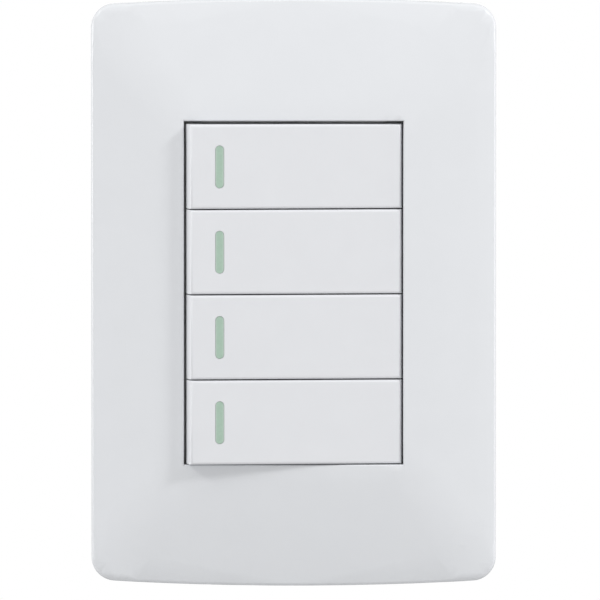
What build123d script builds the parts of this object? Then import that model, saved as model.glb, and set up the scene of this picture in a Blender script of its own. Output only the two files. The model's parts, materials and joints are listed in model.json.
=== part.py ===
from build123d import *
import os
from math import cos, pi, radians, sin, sqrt, tan

# Four-gang wall switch. X points right, Y into the wall and Z up. The origin is the middle of
# the cover plate, on the wall. Heights are measured out of the wall, along -Y.

# Cover plate
plate_width = 81.2
plate_height = 118.0
plate_wall = 2.0
plate_corner = 4.8
edge_bow = 1.3  # swell of the top and bottom edges at their middle
edge_height = 3.6  # where the face meets the middle of each edge
long_crown = 9.6  # crown of the arch that runs from bottom to top
cross_crown = 9.1  # crown of the arch that runs from side to side
crease_radius = 40.0  # softens the four creases where the arches cross
rim_bevel = 0.6
opening_edge = 0.3  # bevel round the front of the opening
collar_wall = 1.4
collar_clearance = 0.3

# Rocker keys
key_count = 4
key_pitch = 17.1
key_gap = 0.25
key_reach = 21.9  # radius of the two ends about the pivot
key_lift = 6.0  # front face above the pivot
key_wall = 1.6
key_side_wall = 1.5
key_edge = 0.6
key_tilt = 4.5  # each way from level
key_rib = 1.2
key_rib_depth = 1.2
pivot_height = 2.55
cheek_half = 3.0
cheek_foot = 1.7
cheek_drop = 2.4  # below the pivot
pin_radius = 1.2
pin_clearance = 0.05
pin_flat = 0.8  # flat side of the pin above its axis, in the mouth of the bearing
opening_gap = 0.55
opening_end_gap = 0.28  # beyond the pitch of the top and bottom keys
opening_rise = 0.2  # the opening sits this much high, so the top gap is the wider one
skirt_clearance = 0.5
cheek_clearance = 0.35

# Glow strips
strip_offset = 15.3
strip_length = 8.6
strip_width = 1.8
strip_clearance = 0.05
strip_flange = 0.8
strip_flange_depth = 0.7

# Support frame
frame_side_margin = 9.6
frame_end_margin = 7.0
frame_thickness = 2.4
frame_corner = 5.0
window_clearance = 0.25
rail_rib_width = 1.2
rail_rib_height = 1.0
rail_rib_length = 84.0
end_rib_thickness = 1.2  # ribs behind the frame that close the ends of the row of modules
end_rib_depth = 1.5
end_rib_clearance = 0.15

# Screws into the wall box
screw_spacing = 83.3
screw_radius = 1.75
screw_neck_radius = 1.45
screw_head_radius = 3.2
screw_head_height = 1.9
screw_head_sides = 12
screw_length = 20.0
screw_slot_length = 8.0
screw_slot_corner = 1.1
screw_clearance = 0.15
screw_seat_depth = 1.0
screw_seat_clearance = 0.4

# Snap hooks between plate and frame
hook_offset = 14.0
hook_width = 6.0
hook_thickness = 1.2
hook_barb = 0.7
hook_inset = 4.5
hook_recess = 1.2
hook_clearance = 0.25

# Switch modules
module_gap = 0.4
base_half = 19.6
base_wall = 1.4
base_corner = 0.8
base_under = 6.6  # from the chamber floor to the rear face
ridge_rise = 0.35  # locating ridge on the upper side, in a groove of the next base
ridge_width = 2.0
ridge_drop = 4.0  # below the front of the base
ridge_clearance = 0.15
base_floor = 1.5
core_rib = 1.2  # crossed ribs in the hollow behind the chamber
chamber_wall = 1.45
partition = 1.4
rear_wall = 1.5
seat_gap = 0.05
cap_thickness = 1.6
tongue_inset = 1.5  # from the end of the base
tongue_thickness = 1.1
tongue_width = 6.0
nib_reach = 0.7
nib_height = 1.1
nib_clearance = 0.1
ear_thickness = 1.8
ear_gap = 0.22
ear_half = 2.4
ear_top_half = 1.4
ear_rise = 2.3  # above the pivot
ear_chamfer = 1.5
ear_mouth = 1.9  # narrower than the pin, which snaps in from the front
ear_lip = 0.5  # where the bearing starts to close, above the pivot
ear_lip_height = 0.6
pin_end_gap = 0.2

# Plunger and spring
sleeve_half = 2.0  # half the square bore
sleeve_wall = 1.1
sleeve_drop = 4.05  # mouth of the sleeve below the pivot
sleeve_room = 0.6
plunger_clearance = 0.06
plunger_shoulder = 1.55  # below the pivot
plunger_shank = 5.0
plunger_taper = 1.0
tip_radius = 1.0
tip_reach = 10.95  # middle of the round tip below the pivot
spigot_half = 0.9
spigot_length = 1.4
spring_radius = 1.6
spring_wire = 0.4
spring_turns = 3
spring_sides = 6  # straight lengths in one turn

# Contact lever
lever_swing = 10.0  # each way from level
lever_end_gap = 1.8
lever_width = 6.4
lever_thickness = 1.0
lever_base = 0.35  # underside of the arms above the fulcrum
hub_half = 2.6
hub_base = -0.5
hub_top = 2.3
blade_half = 0.5
edge_angle = 30.0  # each face of the knife edge the lever rocks on
notch_room = 5.0  # degrees left beside the knife edge at the end of the swing
fulcrum_clearance = 0.06
tip_height = 2.6  # middle of the plunger tip above the fulcrum, key level
tip_clearance = 0.06
guide_half = 1.4
guide_gap = 0.25
guide_rise = 1.6  # above the fulcrum
stop_gap = 0.06
stop_length = 1.2
stop_width = 1.3

# Contacts
contact_inset = 1.6  # from the end of the lever
contact_radius = 1.2
contact_height = 0.8
contact_gap = 0.08  # left between closed contacts
fixed_radius = 1.5
fixed_height = 0.8

# Terminals
strap_thickness = 0.8
strap_width = 4.0
strap_clearance = 0.1
strap_end = 0.5  # past the fixed contact
block_width = 6.8
block_depth = 7.3
block_length = 9.8
block_wall = 0.85
wire_radius = 1.7
wire_depth = 8.0
funnel_gap = 0.25
funnel_flare = 0.8
clamp_radius = 1.5
clamp_clearance = 0.05
clamp_rise = 4.4  # above the rear end of the block
clamp_tip_gap = 0.1
clamp_stand = 1.2  # how far the slotted end stands out of the block
clamp_slot_width = 0.7
clamp_slot_depth = 0.8
clamp_window_gap = 0.6

small_sides = 10  # sides of the small round pieces inside a module

# Worked out from the values above
key_half = (key_pitch - key_gap) / 2
key_top = pivot_height + key_lift
key_under = key_top - key_wall
tilt = radians(key_tilt)
key_bottom = frame_thickness + skirt_clearance + key_reach * sin(tilt)
key_inner_half = key_half - key_side_wall
opening_width = 2 * (key_reach + opening_gap)
opening_height = key_count * key_pitch + 2 * opening_end_gap
collar_base = frame_thickness + collar_clearance

frame_width = plate_width - 2 * frame_side_margin
frame_height = plate_height - 2 * frame_end_margin
tongue_half = base_half - tongue_inset
window_width = 2 * (tongue_half + window_clearance)
window_height = key_count * key_pitch + 2 * window_clearance
hook_level = frame_height / 2 - hook_inset
screw_slot_width = 2 * (screw_radius + screw_clearance)
screw_seat = frame_thickness - screw_seat_depth

module_half = (key_pitch - module_gap) / 2
cheek_reach = cheek_drop * cos(tilt) + cheek_foot * sin(tilt)
cap_top = pivot_height - cheek_reach - cheek_clearance
cap_bottom = cap_top - cap_thickness
ear_outer = key_inner_half - ear_gap
ear_inner = ear_outer - ear_thickness
sleeve_outer = sleeve_half + sleeve_wall
sleeve_end = pivot_height - sleeve_drop

tip_level = pivot_height - tip_reach
shoulder_level = pivot_height - plunger_shoulder
plunger_half = sleeve_half - plunger_clearance
fulcrum_level = tip_level - tip_height
swing = radians(lever_swing)

# The tip's path, seen from the lever, is an arc; the groove is that arc widened by the tip.
end_x = tip_reach * sin(tilt)
end_rise = tip_height + tip_reach * (1 - cos(tilt))
path_x = end_rise * sin(swing) - end_x * cos(swing)
path_rise = end_rise * cos(swing) + end_x * sin(swing) - tip_height
path_radius = (path_x**2 + path_rise**2) / (2 * path_rise)
groove_level = tip_height + path_radius
groove_radius = path_radius + tip_radius + tip_clearance

pocket_outer = base_half - base_wall
block_outer = pocket_outer - seat_gap
block_inner = block_outer - block_depth
pocket_inner = block_inner - seat_gap
chamber_half = pocket_inner - partition
chamber_half_height = module_half - chamber_wall

lever_half = chamber_half - lever_end_gap
contact_offset = lever_half - contact_inset
contact_edge = contact_offset + contact_radius
contact_drop = contact_edge * sin(swing) + (contact_height - lever_base) * cos(swing)
fixed_top = fulcrum_level - contact_drop - contact_gap
strap_top = fixed_top - fixed_height
strap_bottom = strap_top - strap_thickness
floor_level = strap_bottom - seat_gap
stop_top = fulcrum_level - lever_half * sin(swing) + lever_base * cos(swing) - stop_gap
base_rear = floor_level - base_under

block_rear = base_rear + rear_wall + seat_gap
block_front = block_rear + block_length
wire_offset = block_inner + block_wall + wire_radius
clamp_level = block_rear + clamp_rise


def front(outline, low, high):
    # an outline seen from the front, as deep as two heights
    return extrude(Plane.XZ.offset(low) * outline, high - low)


def plan(outline, low, high):
    # an outline seen from above, between two levels of Z
    return extrude(Plane.XY.offset(low) * outline, high - low)


def side(outline, left, right):
    # an outline seen from the right, between two places along X
    return extrude(Plane.YZ.offset(left) * outline, right - left)


def bar(left, right, low, high, half):
    # a block centred on Z
    return front(Pos((left + right) / 2, 0) * Rectangle(right - left, 2 * half), low, high)


def polygon(points):
    # seen from above, from (x, height) points
    return make_face(Polyline(*[(x, -h) for x, h in points], close=True))


def profile(points):
    # seen from the right, from (z, height) points
    return make_face(Polyline(*[(-h, z) for z, h in points], close=True))


def both_ends(body):
    return body + mirror(body, Plane.YZ)


def both_sides(body):
    return body + mirror(body, Plane.XY)


def tilted(body, height, angle):
    # turned about the upright line at this height in the module's middle plane
    return Pos(0, -height, 0) * Rot(0, 0, angle) * Pos(0, height, 0) * body


def plate_outline(inset):
    half = plate_width / 2 - inset
    tall = plate_height / 2 - inset
    shoulder = tall - edge_bow
    top = ThreePointArc((-half, shoulder), (0, tall), (half, shoulder))
    bottom = ThreePointArc((half, -shoulder), (0, -tall), (-half, -shoulder))
    right = Line((half, shoulder), (half, -shoulder))
    left = Line((-half, -shoulder), (-half, shoulder))
    face = make_face([top, right, bottom, left])
    return fillet(face.vertices(), plate_corner - inset)


def arch_radius(half, crown):
    rise = crown - edge_height
    return (half**2 + rise**2) / (2 * rise)


def pillow(inset):
    # two crossed arches trimmed to the outline
    long_radius = arch_radius(plate_height / 2, long_crown)
    cross_radius = arch_radius(plate_width / 2, cross_crown)
    long_axis = Plane.YZ * Pos(long_radius - long_crown, 0)
    cross_axis = Plane.XY * Pos(0, cross_radius - cross_crown)
    body = front(plate_outline(inset), 0, long_crown + cross_crown)
    body &= long_axis * Cylinder(long_radius - inset, plate_width)
    return body & cross_axis * Cylinder(cross_radius - inset, plate_height)


def shared_edges(some, others):
    return [e for f in some for e in f.edges() for g in others if any(e.is_same(o) for o in g.edges())]


def facing(body, least, most):
    # the faces whose normals lean this far to the front, from 0 for walls to 1
    return [f for f in body.faces() if least <= -f.normal_at().Y <= most]


def plate_blank():
    body = pillow(0)
    arches = facing(body, 0.9, 1)
    creases = [e for i, f in enumerate(arches) for e in shared_edges([f], arches[i + 1 :])]
    body = fillet(creases, crease_radius)
    return chamfer(shared_edges(facing(body, 0.9, 1), facing(body, -0.01, 0.01)), rim_bevel)


def hook():
    near = hook_level - hook_thickness / 2
    far = hook_level + hook_thickness / 2
    catch = hook_recess - nib_clearance
    foot = hook_recess - hook_barb - 2 * nib_clearance
    tip = far + hook_barb
    points = [(near, long_crown), (near, foot), (far, foot), (tip, catch - nib_clearance)]
    points += [(tip, catch), (far, catch), (far, long_crown)]
    return side(profile(points), hook_offset - hook_width / 2, hook_offset + hook_width / 2)


def cover_plate():
    # the opening's end walls follow the keys' ends, so the gap stays even
    ends = rocker_section(key_reach + opening_gap, 0, long_crown)
    bottom = opening_rise - opening_height / 2
    body = plate_blank() - plan(ends, bottom, bottom + opening_height)
    walls = [f for f in facing(body, -0.5, 0.5) if in_opening(f.center())]
    body = chamfer(shared_edges(walls, facing(body, 0.9, 1)), opening_edge)
    collar = Rectangle(opening_width + 2 * collar_wall, opening_height + 2 * collar_wall)
    inside = pillow(plate_wall) - front(Pos(0, opening_rise) * collar, collar_base, long_crown)
    return body - (inside - both_sides(both_ends(hook())))


def in_opening(point):
    # no further out than the middle of the collar's wall
    wide = (opening_width + collar_wall) / 2
    tall = (opening_height + collar_wall) / 2
    return abs(point.X) < wide and abs(point.Z - opening_rise) < tall


def hook_slot():
    wide = hook_width + 2 * hook_clearance
    tall = hook_thickness + 2 * hook_clearance
    slot = front(Pos(hook_offset, hook_level) * Rectangle(wide, tall), 0, frame_thickness)
    behind = Pos(hook_offset, hook_level + hook_barb / 2) * Rectangle(wide, tall + hook_barb)
    return slot + front(behind, 0, hook_recess)


def screw_slot():
    room = 2 * (screw_head_radius + screw_seat_clearance)
    place = Pos(0, screw_spacing / 2)
    slot = chamfer(Rectangle(screw_slot_length, screw_slot_width).vertices(), screw_slot_corner)
    seat = Rectangle(screw_slot_length + room - screw_slot_width, room)
    return front(place * slot, 0, frame_thickness) + front(place * seat, screw_seat, frame_thickness)


def support_frame():
    outline = fillet(Rectangle(frame_width, frame_height).vertices(), frame_corner)
    window = Rectangle(window_width, window_height)
    body = front(outline - window, 0, frame_thickness)
    rib = Pos((frame_width - rail_rib_width) / 2, 0) * Rectangle(rail_rib_width, rail_rib_length)
    body += both_ends(front(rib, 0, frame_thickness + rail_rib_height))
    middle = (key_count * key_pitch - module_gap + end_rib_thickness) / 2 + end_rib_clearance
    end_rib = Pos(0, middle) * Rectangle(2 * base_half, end_rib_thickness)
    body += both_sides(front(end_rib, -end_rib_depth, 0))
    body -= both_sides(both_ends(hook_slot()))
    return body - both_sides(screw_slot())


def box_screw():
    top = screw_seat + screw_head_height
    body = front(RegularPolygon(screw_head_radius, screw_head_sides), screw_seat, top)
    body += front(RegularPolygon(screw_neck_radius, small_sides), 0, screw_seat)
    return body + front(Circle(screw_radius), -screw_length, 0)


def rocker_section(reach, low, high):
    # plan of a rocker between two heights, its ends round the pivot
    middle = (low + high) / 2
    wide, waist, slim = [sqrt(reach**2 - (h - pivot_height) ** 2) for h in (low, middle, high)]
    right = ThreePointArc((slim, -high), (waist, -middle), (wide, -low))
    left = ThreePointArc((-wide, -low), (-waist, -middle), (-slim, -high))
    face = Line((-slim, -high), (slim, -high))
    back = Line((wide, -low), (-wide, -low))
    return make_face([face, right, back, left])


def key_shell():
    body = plan(rocker_section(key_reach, key_bottom, key_top), -key_half, key_half)
    body = fillet(body.faces().sort_by(Axis.Y)[0].edges(), key_edge)
    hollow = rocker_section(key_reach - key_wall, key_bottom - key_wall, key_under)
    return body - plan(hollow, -key_inner_half, key_inner_half)


def key_cheek():
    # one cheek with its pivot pin
    foot = pivot_height - cheek_drop
    points = [(cheek_half, key_bottom), (cheek_half, pivot_height), (cheek_foot, foot)]
    points += [(-x, h) for x, h in reversed(points)]
    cheek = plan(polygon(points), key_inner_half, key_half)
    flat = Pos(0, -pin_flat) * Rectangle(2 * pin_radius, 2 * pin_radius, align=(Align.CENTER, Align.MIN))
    pin = Pos(0, -pivot_height) * (Circle(pin_radius) & flat)
    return cheek + plan(pin, ear_inner + pin_end_gap, key_inner_half)


def key():
    low = key_under - key_rib_depth
    rib_end = strip_offset - strip_width / 2 - strip_flange - key_rib
    body = key_shell() + both_sides(key_cheek())
    body += bar(-sleeve_outer, sleeve_outer, sleeve_end, key_under, sleeve_outer)
    body += bar(-rib_end, rib_end, low, key_under, key_rib / 2)
    body -= bar(-sleeve_half, sleeve_half, sleeve_end, key_under, sleeve_half)
    slot = Pos(-strip_offset, 0) * SlotOverall(strip_length, strip_width, rotation=90)
    return body - front(slot, key_under, key_top)


def glow_strip():
    long = strip_length - 2 * strip_clearance
    wide = strip_width - 2 * strip_clearance
    place = Pos(-strip_offset, 0)
    lens = place * SlotOverall(long, wide, rotation=90)
    flange = place * Rectangle(wide + 2 * strip_flange, long + 2 * strip_flange)
    body = front(lens, key_under, key_top - strip_clearance)
    return body + front(flange, key_under - strip_flange_depth, key_under)


def plunger():
    foot = shoulder_level - plunger_shank
    points = [(plunger_half, shoulder_level), (plunger_half, foot)]
    points += [(tip_radius, foot - plunger_taper), (tip_radius, tip_level)]
    points += [(-x, h) for x, h in reversed(points)]
    outline = polygon(points) + Pos(0, -tip_level) * Circle(tip_radius)
    top = shoulder_level + spigot_length
    spigot = bar(-spigot_half, spigot_half, shoulder_level, top, spigot_half)
    return plan(outline, -plunger_half, plunger_half) + spigot


def spring():
    low = shoulder_level + spring_wire / 2 + seat_gap
    high = key_under - spring_wire / 2 - seat_gap
    steps = spring_turns * spring_sides
    points = []
    for step in range(steps + 1):
        angle = 2 * pi * step / spring_sides
        height = low + (high - low) * step / steps
        points.append((spring_radius * cos(angle), -height, spring_radius * sin(angle)))
    coil = Polyline(*points)
    wire = Plane(origin=coil @ 0, z_dir=coil % 0) * Rectangle(spring_wire, spring_wire)
    return sweep(wire, path=coil, transition=Transition.RIGHT)


def front_cap():
    plate = Rectangle(2 * base_half, 2 * module_half)
    long = sleeve_outer + sleeve_drop * sin(tilt) + sleeve_room
    hole = Rectangle(2 * long, 2 * (sleeve_outer + sleeve_room))
    body = front(plate - hole, cap_bottom, cap_top)
    ledge = window_width / 2 + window_clearance
    body += both_ends(bar(ledge, base_half, cap_bottom, -seat_gap, module_half))
    body += both_ends(plan(tongue_outline(), -tongue_width / 2, tongue_width / 2))
    return body + both_sides(pivot_ear())


def tongue_outline():
    # a snap tongue that catches on the front of the frame
    inner = tongue_half - tongue_thickness
    catch = frame_thickness + nib_clearance
    tip = catch + nib_height
    points = [(inner, cap_bottom), (tongue_half, cap_bottom), (tongue_half, catch)]
    points += [(tongue_half + nib_reach, catch), (tongue_half, tip), (inner, tip)]
    return polygon(points)


def pivot_ear():
    top = pivot_height + ear_rise
    points = [(ear_half, cap_bottom), (ear_half, top - ear_chamfer), (ear_top_half, top)]
    points += [(-x, h) for x, h in reversed(points)]
    room = pin_radius + pin_clearance
    lip = pivot_height + ear_lip
    way = [(room, pivot_height), (room, lip), (ear_mouth / 2, lip + ear_lip_height), (ear_mouth / 2, top)]
    way += [(-x, h) for x, h in reversed(way)]
    hole = Pos(0, -pivot_height) * Circle(room) + polygon(way)
    return plan(polygon(points) - hole, ear_inner, ear_outer)


def base():
    outline = chamfer(Rectangle(2 * base_half, 2 * module_half).vertices(), base_corner)
    body = front(outline, base_rear, cap_bottom)
    body -= bar(-chamber_half, chamber_half, floor_level, cap_bottom, chamber_half_height)
    under = floor_level - base_floor
    body -= bar(-chamber_half, chamber_half, base_rear, under, chamber_half_height)
    body += bar(-chamber_half, chamber_half, base_rear, under, core_rib / 2)
    body += bar(-core_rib / 2, core_rib / 2, base_rear, under, chamber_half_height)
    body -= both_ends(terminal_pocket())
    body += locating_bar(module_half, 0) - locating_bar(-module_half, ridge_clearance)
    body += both_sides(lever_guide())
    return body + both_sides(lever_stop())


def locating_bar(level, clearance):
    # the ridge on a base's upper side, or the groove that takes it, round this level of Z
    half = base_half - base_corner + clearance
    middle = cap_bottom - ridge_drop
    deep = ridge_width / 2 + clearance
    outline = Pos(0, level) * Rectangle(2 * half, 2 * (ridge_rise + clearance))
    return front(outline, middle - deep, middle + deep)


def terminal_pocket():
    half = block_width / 2 + seat_gap
    strap_half = strap_width / 2 + strap_clearance
    inside = base_rear + rear_wall
    pocket = bar(pocket_inner, pocket_outer, inside, cap_bottom, half)
    pocket += bar(chamber_half, pocket_inner, floor_level, cap_bottom, strap_half)
    room = clamp_radius + clamp_window_gap
    pocket += bar(pocket_outer, base_half, clamp_level - room, clamp_level + room, room)
    return pocket + funnel()


def funnel():
    # the square lead-in of the right-hand wire hole
    narrow = wire_radius + funnel_gap
    wide = narrow + funnel_flare
    inside = base_rear + rear_wall
    points = [(-wide, base_rear), (wide, base_rear), (narrow, inside), (-narrow, inside)]
    body = plan(polygon(points), -wide, wide) & side(profile(points), -wide, wide)
    return Pos(wire_offset, 0, 0) * body


def lever_guide():
    near = lever_width / 2 + guide_gap
    place = Pos(0, (near + chamber_half_height) / 2)
    rib = place * Rectangle(2 * guide_half, chamber_half_height - near)
    return front(rib, floor_level, fulcrum_level + guide_rise)


def lever_stop():
    middle = lever_half - stop_length / 2
    place = Pos(-middle, strap_width / 2 + strap_clearance + stop_width / 2)
    return front(place * Rectangle(stop_length, stop_width), floor_level, stop_top)


def lever():
    # drawn level, with the fulcrum at the origin
    half = lever_width / 2
    arm = bar(-lever_half, lever_half, lever_base, lever_base + lever_thickness, half)
    body = arm + bar(-hub_half, hub_half, hub_base, hub_top, half)
    wide = (fulcrum_clearance - hub_base) * tan(radians(edge_angle + lever_swing + notch_room))
    notch = polygon([(0, fulcrum_clearance), (wide, hub_base), (-wide, hub_base)])
    body -= plan(notch, -half, half)
    return body - plan(Pos(0, -groove_level) * Circle(groove_radius), -half, half)


def moving_contact():
    # drawn with the level lever
    button = Pos(contact_offset, 0) * RegularPolygon(contact_radius, small_sides)
    return front(button, lever_base - contact_height, lever_base)


def fixed_contact():
    button = Pos(contact_offset, 0) * RegularPolygon(fixed_radius, small_sides)
    return front(button, strap_top, fixed_top)


def terminal_block():
    # the right-hand block, with its wire bore and the hole of its clamp screw
    body = bar(block_inner, block_outer, block_rear, block_front, block_width / 2)
    bore = Pos(wire_offset, 0) * Circle(wire_radius)
    body -= front(bore, block_rear, block_rear + wire_depth)
    hole = Pos(-clamp_level, 0) * RegularPolygon(clamp_radius + clamp_clearance, small_sides)
    return body - side(hole, wire_offset, block_outer)


def load_terminal():
    end = contact_offset - fixed_radius - strap_end
    strap = bar(end, block_inner, strap_bottom, strap_top, strap_width / 2)
    return terminal_block() + strap


def common_terminal():
    half = strap_width / 2
    strap = bar(-block_inner, blade_half, strap_bottom, strap_top, half)
    shoulder = fulcrum_level - blade_half / tan(radians(edge_angle))
    points = [(-blade_half, strap_bottom), (blade_half, strap_bottom), (blade_half, shoulder)]
    points += [(0, fulcrum_level), (-blade_half, shoulder)]
    blade = plan(polygon(points), -half, half)
    return mirror(terminal_block(), Plane.YZ) + strap + blade


def clamp_screw():
    place = Pos(-clamp_level, 0)
    tip = wire_offset + wire_radius + clamp_tip_gap
    end = block_outer + clamp_stand
    body = side(place * RegularPolygon(clamp_radius, small_sides), tip, end)
    slot = place * Rectangle(clamp_slot_width, 2 * clamp_radius)
    return body - side(slot, end - clamp_slot_depth, end)


def key_level(number):
    return ((key_count + 1) / 2 - number) * key_pitch


def on_lever(body):
    # from the fulcrum's own drawing to the module, tipped to the left
    return tilted(Pos(0, -fulcrum_level, 0) * body, fulcrum_level, -lever_swing)


def module_parts():
    return {
        "key": tilted(key(), pivot_height, key_tilt),
        "glow_strip": tilted(glow_strip(), pivot_height, key_tilt),
        "plunger": tilted(plunger(), pivot_height, key_tilt),
        "spring": tilted(spring(), pivot_height, key_tilt),
        "front_cap": front_cap(),
        "base": base(),
        "lever": on_lever(lever()),
        "moving_contact": on_lever(moving_contact()),
        "fixed_contact": fixed_contact(),
        "common_terminal": common_terminal(),
        "load_terminal": load_terminal(),
        "clamp_screws": both_ends(clamp_screw()),
    }


def save(name, body):
    export_step(body, os.path.join("parts", name + ".step"))


os.makedirs("parts", exist_ok=True)
save("cover_plate", cover_plate())
save("support_frame", support_frame())
save("box_screws", both_sides(Pos(0, 0, screw_spacing / 2) * box_screw()))
for name, body in module_parts().items():
    for number in range(1, key_count + 1):
        save(f"{name}_{number}", Pos(0, 0, key_level(number)) * body)
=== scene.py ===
import json
import math
import bmesh
import bpy
from mathutils import Matrix, Vector


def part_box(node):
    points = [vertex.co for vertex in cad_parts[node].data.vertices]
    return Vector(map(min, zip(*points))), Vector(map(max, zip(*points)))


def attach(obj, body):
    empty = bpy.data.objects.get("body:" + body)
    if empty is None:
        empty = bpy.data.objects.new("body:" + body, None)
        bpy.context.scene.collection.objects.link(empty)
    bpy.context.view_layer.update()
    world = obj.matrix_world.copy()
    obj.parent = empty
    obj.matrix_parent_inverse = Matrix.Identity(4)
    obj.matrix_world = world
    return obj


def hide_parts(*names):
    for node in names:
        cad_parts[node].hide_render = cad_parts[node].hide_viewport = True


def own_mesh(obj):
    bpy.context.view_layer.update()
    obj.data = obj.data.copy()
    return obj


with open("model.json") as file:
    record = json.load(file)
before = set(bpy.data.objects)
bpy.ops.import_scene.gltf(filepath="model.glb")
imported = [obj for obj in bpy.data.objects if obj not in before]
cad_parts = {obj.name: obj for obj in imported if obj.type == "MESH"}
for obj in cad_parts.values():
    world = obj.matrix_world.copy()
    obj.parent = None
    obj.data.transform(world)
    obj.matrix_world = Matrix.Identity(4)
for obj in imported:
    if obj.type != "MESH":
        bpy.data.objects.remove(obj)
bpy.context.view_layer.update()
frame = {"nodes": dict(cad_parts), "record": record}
nodes = frame["nodes"]
gangs = (1, 2, 3, 4)  # modules from top to bottom
mm = 0.001
print("frame loaded:", len(nodes), "nodes")


# finishes
noiseMiddle = (0.3, 0.7)  # where most values of a noise lie
noiseDetail = {"drift": 3, "patch": 4, "grain": 2, "stain": 4, "lines": 3}


def feed(tree, slot, value):
    # a socket is linked, a plain value is set
    if isinstance(value, bpy.types.NodeSocket):
        tree.links.new(value, slot)
    else:
        slot.default_value = value


def opaque(tone):
    return (*tone, 1)


def startFinish(name):
    finish = bpy.data.materials.new(name)
    finish.use_nodes = True
    tree = finish.node_tree
    shader = tree.nodes["Principled BSDF"]
    place = tree.nodes.new("ShaderNodeTexCoord")
    return finish, tree, shader, place.outputs["Object"]


def noiseOf(tree, place, grain, detail, stretch=None):
    noise = tree.nodes.new("ShaderNodeTexNoise")
    noise.inputs["Scale"].default_value = 1 / grain
    noise.inputs["Detail"].default_value = detail
    if stretch:
        mapping = tree.nodes.new("ShaderNodeMapping")
        mapping.inputs["Scale"].default_value = stretch
        tree.links.new(place, mapping.inputs["Vector"])
        place = mapping.outputs["Vector"]
    tree.links.new(place, noise.inputs["Vector"])
    return noise.outputs["Fac"]


def spreadTo(tree, value, low, high):
    # the middle of the noise spread over low to high
    spread = tree.nodes.new("ShaderNodeMapRange")
    spread.inputs["From Min"].default_value, spread.inputs["From Max"].default_value = noiseMiddle
    spread.inputs["To Min"].default_value = low
    spread.inputs["To Max"].default_value = high
    tree.links.new(value, spread.inputs["Value"])
    return spread.outputs["Result"]


def fadeOver(tree, value, reach):
    # 0 before the reach and 1 past it, smooth between
    fade = tree.nodes.new("ShaderNodeMapRange")
    fade.interpolation_type = "SMOOTHSTEP"
    fade.inputs["From Min"].default_value, fade.inputs["From Max"].default_value = reach
    tree.links.new(value, fade.inputs["Value"])
    return fade.outputs["Result"]


def mathOf(tree, operation, *values):
    step = tree.nodes.new("ShaderNodeMath")
    step.operation = operation
    for slot, value in zip(step.inputs, values):
        feed(tree, slot, value)
    return step.outputs[0]


def mixTones(tree, share, first, second):
    tones = tree.nodes.new("ShaderNodeMix")
    tones.data_type = "RGBA"
    feed(tree, tones.inputs["A"], first)
    feed(tree, tones.inputs["B"], second)
    tree.links.new(share, tones.inputs["Factor"])
    return tones.outputs["Result"]


def mixShaders(tree, share, first, second):
    mix = tree.nodes.new("ShaderNodeMixShader")
    tree.links.new(share, mix.inputs["Fac"])
    tree.links.new(first, mix.inputs[1])
    tree.links.new(second, mix.inputs[2])
    return mix.outputs[0]


def roughen(tree, shader, value, depth):
    bump = tree.nodes.new("ShaderNodeBump")
    bump.inputs["Distance"].default_value = depth
    bump.inputs["Strength"].default_value = 1
    tree.links.new(value, bump.inputs["Height"])
    tree.links.new(bump.outputs["Normal"], shader.inputs["Normal"])


def paintedEdgeHighlight(tree, place, tone, look):
    # painted highlight: the glow strip's lens is painted paler towards its long edges, where light catches
    # them
    apart = tree.nodes.new("ShaderNodeSeparateXYZ")
    tree.links.new(place, apart.inputs[0])
    away = mathOf(tree, "ABSOLUTE", mathOf(tree, "ADD", apart.outputs["X"], -look["middle"]))
    return mixTones(tree, fadeOver(tree, away, look["fade"]), tone, opaque(look["edge"]))


def plastic(name, look):
    finish, tree, shader, place = startFinish(name)
    drift = spreadTo(tree, noiseOf(tree, place, look["drift"], noiseDetail["drift"]), 0, 1)
    tone = mixTones(tree, drift, opaque(look["tone"]), opaque(look["shade"]))
    # the glow strip gets a painted highlight along its long edges
    if "edge" in look:
        tone = paintedEdgeHighlight(tree, place, tone, look)
    tree.links.new(tone, shader.inputs["Base Color"])
    patches = noiseOf(tree, place, look["patch"], noiseDetail["patch"])
    tree.links.new(spreadTo(tree, patches, *look["rough"]), shader.inputs["Roughness"])
    roughen(tree, shader, noiseOf(tree, place, look["grain"], noiseDetail["grain"]), look["depth"])
    shader.inputs["IOR"].default_value = look["ior"]
    if "soft" in look:
        shader.inputs["Subsurface Weight"].default_value = look["soft"]
        shader.inputs["Subsurface Radius"].default_value = (1, 1, 1)
        shader.inputs["Subsurface Scale"].default_value = look["bleed"]
    return finish


def metal(name, look):
    finish, tree, shader, place = startFinish(name)
    stain = spreadTo(tree, noiseOf(tree, place, look["drift"], noiseDetail["stain"]), 0, 1)
    tone = mixTones(tree, stain, opaque(look["tone"]), opaque(look["shade"]))
    tree.links.new(tone, shader.inputs["Base Color"])
    lines = noiseOf(tree, place, look["grain"], noiseDetail["lines"], look["stretch"])
    tree.links.new(spreadTo(tree, lines, *look["rough"]), shader.inputs["Roughness"])
    roughen(tree, shader, lines, look["depth"])
    shader.inputs["Metallic"].default_value = 1
    return finish


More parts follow.
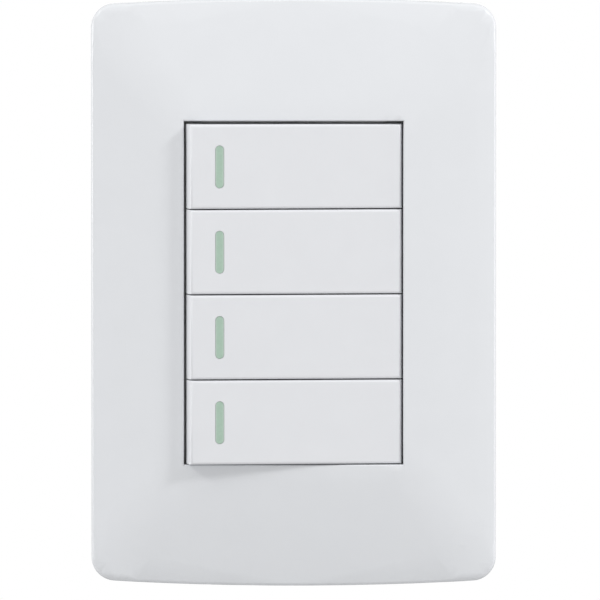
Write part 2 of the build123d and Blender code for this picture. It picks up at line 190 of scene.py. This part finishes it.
# drift, patch and grain are the sizes of the noise, depth is the height of its bumps
plasticLooks = {
    "plate_plastic": {"tone": (0.775, 0.79, 0.815), "shade": (0.765, 0.78, 0.805), "drift": 9 * mm,
                      "rough": (0.2, 0.26), "patch": 2.5 * mm, "grain": 1.6 * mm, "depth": 0.002 * mm,
                      "ior": 1.5},
    "key_plastic": {"tone": (0.785, 0.795, 0.82), "shade": (0.775, 0.785, 0.81), "drift": 6 * mm,
                    "rough": (0.36, 0.46), "patch": 1.5 * mm, "grain": 0.5 * mm, "depth": 0.0015 * mm,
                    "ior": 1.5},
    # glow strip: its edge tone is a painted highlight, mixed in over the fade reach from its middle
    "glow_plastic": {"tone": (0.425, 0.57, 0.47), "shade": (0.4, 0.545, 0.445), "drift": 0.5 * mm,
                     "rough": (0.4, 0.55), "patch": 0.6 * mm, "grain": 0.12 * mm, "depth": 0.004 * mm,
                     "ior": 1.49, "soft": 0.3, "bleed": 0.6 * mm, "middle": -14.8 * mm,
                     "fade": (0.45 * mm, 0.95 * mm), "edge": (0.56, 0.66, 0.6)},
    "frame_plastic": {"tone": (0.62, 0.63, 0.63), "shade": (0.575, 0.585, 0.59), "drift": 5 * mm,
                      "rough": (0.42, 0.58), "patch": 1.2 * mm, "grain": 0.18 * mm, "depth": 0.012 * mm,
                      "ior": 1.53},
    "base_plastic": {"tone": (0.42, 0.43, 0.44), "shade": (0.37, 0.38, 0.39), "drift": 3.5 * mm,
                     "rough": (0.45, 0.62), "patch": 0.9 * mm, "grain": 0.16 * mm, "depth": 0.014 * mm,
                     "ior": 1.55},
    "plunger_plastic": {"tone": (0.72, 0.7, 0.64), "shade": (0.68, 0.655, 0.59), "drift": 2 * mm,
                        "rough": (0.3, 0.42), "patch": 0.8 * mm, "grain": 0.15 * mm, "depth": 0.005 * mm,
                        "ior": 1.48},
}
metalLooks = {
    "spring_steel": {"tone": (0.6, 0.61, 0.62), "shade": (0.5, 0.51, 0.52), "drift": 0.8 * mm,
                     "rough": (0.16, 0.26), "grain": 0.12 * mm, "stretch": (1, 3, 1), "depth": 0.003 * mm},
    "screw_steel": {"tone": (0.64, 0.64, 0.62), "shade": (0.54, 0.55, 0.56), "drift": 1.2 * mm,
                    "rough": (0.3, 0.44), "grain": 0.14 * mm, "stretch": (1, 1, 1), "depth": 0.006 * mm},
    "brass": {"tone": (0.74, 0.56, 0.27), "shade": (0.58, 0.41, 0.2), "drift": 2.2 * mm,
              "rough": (0.29, 0.42), "grain": 0.12 * mm, "stretch": (1, 1, 6), "depth": 0.004 * mm},
    "contact_metal": {"tone": (0.78, 0.78, 0.78), "shade": (0.66, 0.65, 0.63), "drift": 0.6 * mm,
                      "rough": (0.16, 0.26), "grain": 0.1 * mm, "stretch": (1, 1, 1), "depth": 0.003 * mm},
}
finishes = {name: plastic(name + "_finish", look) for name, look in plasticLooks.items()}
finishes.update({name: metal(name + "_finish", look) for name, look in metalLooks.items()})
print("finishes made:", len(finishes))


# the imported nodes
softEdges = {"weld": 0.001 * mm, "keepSharp": 50}  # keepSharp: degrees between faces that stay apart


def edgeSoftener(angle):
    group = bpy.data.node_groups.new("edge_softener", "GeometryNodeTree")
    group.interface.new_socket("Mesh", in_out="INPUT", socket_type="NodeSocketGeometry")
    group.interface.new_socket("Mesh", in_out="OUTPUT", socket_type="NodeSocketGeometry")
    into = group.nodes.new("NodeGroupInput")
    out = group.nodes.new("NodeGroupOutput")
    fold = group.nodes.new("GeometryNodeInputMeshEdgeAngle")
    sharp = group.nodes.new("FunctionNodeCompare")
    sharp.inputs["B"].default_value = math.radians(angle)
    shading = group.nodes.new("GeometryNodeSetMeshNormal")
    shading.inputs["Remove Custom"].default_value = True
    group.links.new(into.outputs["Mesh"], shading.inputs["Mesh"])
    group.links.new(fold.outputs["Unsigned Angle"], sharp.inputs["A"])
    group.links.new(sharp.outputs["Result"], shading.inputs["Edge Sharpness"])
    group.links.new(shading.outputs["Mesh"], out.inputs["Mesh"])
    return group


softener = edgeSoftener(softEdges["keepSharp"])
slotOf = {row["node"]: row["material_slot"] for row in frame["record"]["subparts"]}
for name, node in nodes.items():
    node.material_slots[0].material = finishes[slotOf[name]]
    weld = node.modifiers.new("weld", "WELD")
    weld.merge_threshold = softEdges["weld"]
    node.modifiers.new("soften", "NODES").node_group = softener
    level = node.modifiers.new("level", "WEIGHTED_NORMAL")
    level.keep_sharp = True
print("nodes dressed")


# small parts with more shape than their solids
meshRoom = {"join": 0.002 * mm, "flat": 0.001 * mm, "cut": 0.0001 * mm}  # how near counts as the same


def keepPiece(name, bm, body, slotName):
    bmesh.ops.remove_doubles(bm, verts=bm.verts, dist=meshRoom["join"])
    bmesh.ops.recalc_face_normals(bm, faces=bm.faces)
    mesh = bpy.data.meshes.new(name)
    bm.to_mesh(mesh)
    bm.free()
    piece = bpy.data.objects.new(name, mesh)
    bpy.context.collection.objects.link(piece)
    mesh.materials.append(finishes[slotName])
    piece.modifiers.new("soften", "NODES").node_group = softener
    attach(piece, body)
    return piece


def eachOnce(items):
    return list(dict.fromkeys(items))  # in the order they come


def turnedCore(bm, outline, steps):
    # outline of radius and height, spun round the Y axis
    verts = [bm.verts.new((radius, height, 0)) for radius, height in outline]
    edges = [bm.edges.new(pair) for pair in zip(verts, verts[1:])]
    bmesh.ops.spin(bm, geom=verts + edges, cent=(0, 0, 0), axis=(0, 1, 0), angle=2 * math.pi,
                   steps=steps, use_merge=True)
    rims = [edge for edge in bm.edges if edge.is_boundary]
    bmesh.ops.holes_fill(bm, edges=rims, sides=0)


def addThread(bm, screw, start, stop):
    # one tooth, its foot a little inside the core, wound round the Y axis from start to stop
    pitch, steps = screw["pitch"], screw["steps"]
    foot = screw["root"] - screw["toothSunk"]
    near, far = screw["toothCrest"]
    tooth = [(foot, 0), (foot, pitch * screw["toothFoot"]), (screw["crest"], pitch * far),
             (screw["crest"], pitch * near)]
    face = bm.faces.new([bm.verts.new((radius, height + start, 0)) for radius, height in tooth])
    count = round(((stop - start) / pitch - 1) * steps)
    bmesh.ops.spin(bm, geom=[face, *face.edges, *face.verts], cent=(0, 0, 0), axis=(0, -1, 0),
                   angle=2 * math.pi * count / steps, dvec=(0, pitch / steps, 0), steps=count)


def sinkRecess(bm, top, cuts, inside, depth, taper):
    # the flat end face is cut up, and what lies inside the recess is sunk
    def endFaces():
        return [face for face in bm.faces
                if all(abs(vert.co.y - top) < meshRoom["flat"] for vert in face.verts)]

    for axis, offset in cuts:
        faces = endFaces()
        edges = eachOnce(edge for face in faces for edge in face.edges)
        verts = eachOnce(vert for face in faces for vert in face.verts)
        normal = Vector(axis)
        bmesh.ops.bisect_plane(bm, geom=[*faces, *edges, *verts], dist=meshRoom["cut"],
                               plane_co=normal * offset, plane_no=normal)
    faces = [face for face in endFaces() if inside(face.calc_center_median())]
    sunk = bmesh.ops.extrude_face_region(bm, geom=faces)["geom"]
    verts = [item for item in sunk if isinstance(item, bmesh.types.BMVert)]
    bmesh.ops.scale(bm, vec=(taper, 1, taper), verts=verts)
    bmesh.ops.translate(bm, vec=(0, depth, 0), verts=verts)
    bmesh.ops.delete(bm, geom=faces, context="FACES")


def addPart(whole, build, place):
    # one screw built by itself, then set in its place
    part = bmesh.new()
    build(part)
    bmesh.ops.transform(part, matrix=place, verts=part.verts)
    mesh = bpy.data.meshes.new("screw_part")
    part.to_mesh(mesh)
    part.free()
    whole.from_mesh(mesh)
    bpy.data.meshes.remove(mesh)


boxScrew = {
    "spacing": 83.3 * mm, "length": 20 * mm, "steps": 24,
    "head": 3.2 * mm, "crown": 1.9 * mm, "top": -3.3 * mm, "seat": -1.4 * mm,
    "dome": ((0.8, 0.14), (0.94, 0.4), (1, 0.72), (0.985, 1)),  # shares of the head's radius and thickness
    "neck": 1.4 * mm, "neckEnd": 0.3 * mm, "rootStart": 0.5 * mm,
    "root": 1.38 * mm, "crest": 1.75 * mm, "tip": 0.8 * mm, "tipShare": 0.7,
    "pitch": 0.6 * mm, "threadStart": 0.7 * mm, "threadStop": 1.1 * mm, "toothSunk": 0.06 * mm,
    "toothFoot": 0.84, "toothCrest": (0.36, 0.48),  # shares of the pitch
    "crossHalf": 0.42 * mm, "crossReach": 1.7 * mm, "crossDepth": 1.3 * mm, "crossTaper": 0.6,
}


def addBoxScrew(bm):
    # the seat of the head near 0, the tip along Y
    s = boxScrew
    thick = s["seat"] - s["top"]
    outline = [(s["crown"], s["top"])]
    outline += [(s["head"] * wide, s["top"] + thick * deep) for wide, deep in s["dome"]]
    outline += [(s["neck"], s["seat"]), (s["neck"], s["neckEnd"]), (s["root"], s["rootStart"]),
                (s["root"], s["length"] - s["tip"]), (s["root"] * s["tipShare"], s["length"])]
    turnedCore(bm, outline, s["steps"])
    half, reach = s["crossHalf"], s["crossReach"]
    cuts = [(axis, offset) for axis in ((1, 0, 0), (0, 0, 1)) for offset in (-reach, -half, half, reach)]

    def inCross(point):
        near, far = sorted((abs(point.x), abs(point.z)))
        return near < half and far < reach

    sinkRecess(bm, s["top"], cuts, inCross, s["crossDepth"], s["crossTaper"])
    addThread(bm, s, s["threadStart"], s["length"] - s["threadStop"])


shape = bmesh.new()
for side in (1, -1):
    addPart(shape, addBoxScrew, Matrix.Translation((0, 0, side * boxScrew["spacing"] / 2)))
boxScrews = keepPiece("threaded_box_screws", shape, "housing", "screw_steel")
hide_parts("box_screws")
print("box screws threaded")


clampScrew = {
    "radius": 1.5 * mm, "rim": 0.15 * mm, "headLong": 1.25 * mm, "headEdge": 0.1 * mm, "steps": 24,
    "root": 1.2 * mm, "crest": 1.48 * mm, "length": 4.15 * mm, "tip": 0.3 * mm, "tipBevel": 0.25 * mm,
    "pitch": 0.5 * mm, "toothSunk": 0.05 * mm,
    "toothFoot": 0.84, "toothCrest": (0.37, 0.47),  # shares of the pitch
    "slotHalf": 0.35 * mm, "slotDepth": 0.8 * mm,
}


def addClampScrew(bm):
    # the slotted end at 0, the tip along Y
    s = clampScrew
    stop = s["length"] - s["tip"]
    outline = [(s["radius"] - s["rim"], 0), (s["radius"], s["rim"]), (s["radius"], s["headLong"]),
               (s["root"], s["headLong"] + s["headEdge"]), (s["root"], stop),
               (s["root"] - s["tipBevel"], s["length"])]
    turnedCore(bm, outline, s["steps"])
    cuts = [((1, 0, 0), -s["slotHalf"]), ((1, 0, 0), s["slotHalf"])]
    sinkRecess(bm, 0, cuts, lambda point: abs(point.x) < s["slotHalf"], s["slotDepth"], 1)
    addThread(bm, s, s["headLong"], stop)


for gang in gangs:
    low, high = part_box(f"clamp_screws_{gang}")
    middle = (low + high) / 2
    shape = bmesh.new()
    for side in (1, -1):
        turn = Matrix.Rotation(side * math.pi / 2, 4, "Z")
        place = Matrix.Translation((side * high.x, middle.y, middle.z))
        addPart(shape, addClampScrew, place @ turn)
    screws = keepPiece(f"slotted_clamp_screws_{gang}", shape, "housing", "screw_steel")
    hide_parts(f"clamp_screws_{gang}")
print("clamp screws slotted")


coilSpring = {
    "coilRadius": 1.6 * mm, "wireRadius": 0.2 * mm, "low": -1.2 * mm, "high": -6.75 * mm,
    "turns": 3.5, "deadTurns": 0.75, "deadPitch": 0.42 * mm, "steps": 24, "sides": 8,
    "pivot": -2.55 * mm, "tilt": 4.5, "travel": 0.8 * mm,  # of the key and its plunger, tilt in degrees
}


def addCoil(bm):
    # dead turn, live turns, dead turn, from the plunger up to the key
    s = coilSpring
    deadRise = s["deadPitch"] * s["deadTurns"]
    liveRise = abs(s["high"] - s["low"]) - 2 * deadRise
    ring = bmesh.ops.create_circle(bm, cap_ends=True, radius=s["wireRadius"], segments=s["sides"])["verts"]
    bmesh.ops.translate(bm, vec=(s["coilRadius"], s["low"], 0), verts=ring)
    end = [*ring, *eachOnce(edge for vert in ring for edge in vert.link_edges),
           *eachOnce(face for vert in ring for face in vert.link_faces)]
    for turns, rise in ((s["deadTurns"], deadRise), (s["turns"], liveRise), (s["deadTurns"], deadRise)):
        count = round(turns * s["steps"])
        wound = bmesh.ops.spin(bm, geom=end, cent=(0, 0, 0), axis=(0, 1, 0), steps=count,
                               angle=2 * math.pi * count / s["steps"], dvec=(0, -rise / count, 0))
        end = wound["geom_last"]


for gang in gangs:
    low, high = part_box(f"key_{gang}")
    shape = bmesh.new()
    addCoil(shape)
    pivot = Matrix.Translation((0, coilSpring["pivot"], (low.z + high.z) / 2))
    drop = Matrix.Translation((0, -coilSpring["pivot"], 0))
    tilt = Matrix.Rotation(math.radians(coilSpring["tilt"]), 4, "Z")
    place = pivot @ tilt @ drop
    bmesh.ops.transform(shape, matrix=place, verts=shape.verts)
    coil = keepPiece(f"coil_spring_{gang}", shape, f"key_{gang}", "spring_steel")
    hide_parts(f"spring_{gang}")
    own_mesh(coil)
print("springs wound")


# stage, light and camera
floorLook = {"level": -0.09, "reach": 1.2, "sides": 96, "tone": (0.62, 0.62, 0.62), "rough": 0.8,
             "fade": (0.12, 0.24)}  # the floor turns white over this reach


def seenRays(tree):
    # 1 for what the camera sees, straight, mirrored or through glass
    ray = tree.nodes.new("ShaderNodeLightPath")
    seen = ray.outputs["Is Camera Ray"]
    for kind in ("Is Glossy Ray", "Is Transmission Ray"):
        seen = mathOf(tree, "MAXIMUM", seen, ray.outputs[kind])
    return seen


def floorFinish():
    finish, tree, shader, place = startFinish("floor_finish")
    shader.inputs["Base Color"].default_value = opaque(floorLook["tone"])
    shader.inputs["Roughness"].default_value = floorLook["rough"]
    flat = tree.nodes.new("ShaderNodeVectorMath")  # away from the middle, whatever the level
    flat.operation = "MULTIPLY"
    flat.inputs[1].default_value = (1, 1, 0)
    tree.links.new(place, flat.inputs[0])
    away = tree.nodes.new("ShaderNodeVectorMath")
    away.operation = "LENGTH"
    tree.links.new(flat.outputs["Vector"], away.inputs[0])
    share = mathOf(tree, "MULTIPLY", fadeOver(tree, away.outputs["Value"], floorLook["fade"]), seenRays(tree))
    white = tree.nodes.new("ShaderNodeEmission")
    upper = mixShaders(tree, share, shader.outputs[0], white.outputs[0])
    side = tree.nodes.new("ShaderNodeNewGeometry")
    clear = tree.nodes.new("ShaderNodeBsdfTransparent")  # open from below, so the underside can be looked at
    oneWay = mixShaders(tree, side.outputs["Backfacing"], upper, clear.outputs[0])
    tree.links.new(oneWay, tree.nodes["Material Output"].inputs["Surface"])
    return finish


def addFloor():
    bm = bmesh.new()
    bmesh.ops.create_circle(bm, cap_ends=True, radius=floorLook["reach"], segments=floorLook["sides"])
    bmesh.ops.translate(bm, vec=(0, 0, floorLook["level"]), verts=bm.verts)
    mesh = bpy.data.meshes.new("floor")
    bm.to_mesh(mesh)
    bm.free()
    floor = bpy.data.objects.new("floor", mesh)
    bpy.context.collection.objects.link(floor)
    mesh.materials.append(floorFinish())


lightLook = {
    "tone": (1, 1, 1), "ambient": 0.6,
    "lamps": {
        "overhead": {"at": (0.0, -0.35, 0.9), "size": 0.3, "power": 0.45},
        "upperRight": {"at": (0.7, -0.45, 0.6), "size": 0.2, "power": 4.05},
        "upperLeft": {"at": (-0.7, -0.45, 0.6), "size": 0.2, "power": 2.55},
        "rearRight": {"at": (0.85, 0.12, 0.1), "size": 0.4, "power": 1.15},
        "rearLeft": {"at": (-0.85, 0.12, 0.1), "size": 0.4, "power": 1.6},
    },
}


def addWorld():
    world = bpy.data.worlds.new("studio")
    world.use_nodes = True
    bpy.context.scene.world = world
    tree = world.node_tree
    ambient = tree.nodes["Background"]
    ambient.inputs["Color"].default_value = opaque(lightLook["tone"])
    ambient.inputs["Strength"].default_value = lightLook["ambient"]
    white = tree.nodes.new("ShaderNodeBackground")
    white.inputs["Color"].default_value = (1, 1, 1, 1)
    choice = mixShaders(tree, seenRays(tree), ambient.outputs[0], white.outputs[0])
    tree.links.new(choice, tree.nodes["World Output"].inputs["Surface"])


def addLamp(name, look):
    lamp = bpy.data.lights.new(name, "AREA")
    lamp.shape = "DISK"
    lamp.size = look["size"]
    lamp.energy = look["power"]
    lamp.color = lightLook["tone"]
    stand = bpy.data.objects.new(name, lamp)
    stand.location = look["at"]
    stand.visible_camera = False
    stand.rotation_euler = (-Vector(look["at"])).to_track_quat("-Z", "Y").to_euler()
    bpy.context.collection.objects.link(stand)


cameraLook = {"lens": 800, "sensor": 36, "near": 0.01, "across": 120.35 * mm,
              "aim": (1.28 * mm, -3 * mm, -1.49 * mm), "rise": 4.0}  # rise: degrees above the switch


def addCamera():
    look = cameraLook
    camera = bpy.data.cameras.new("camera")
    camera.lens = look["lens"]
    camera.sensor_width = look["sensor"]
    camera.clip_start = look["near"]
    stand = bpy.data.objects.new("camera", camera)
    rise = math.radians(look["rise"])
    away = look["across"] * look["lens"] / look["sensor"]
    stand.location = Vector(look["aim"]) + Vector((0, -math.cos(rise), math.sin(rise))) * away
    stand.rotation_euler = (math.pi / 2 - rise, 0, 0)
    bpy.context.collection.objects.link(stand)
    bpy.context.scene.camera = stand


addFloor()
addWorld()
for name, look in lightLook["lamps"].items():
    addLamp(name, look)
addCamera()
bpy.context.scene.view_settings.view_transform = "Standard"
print("stage set")
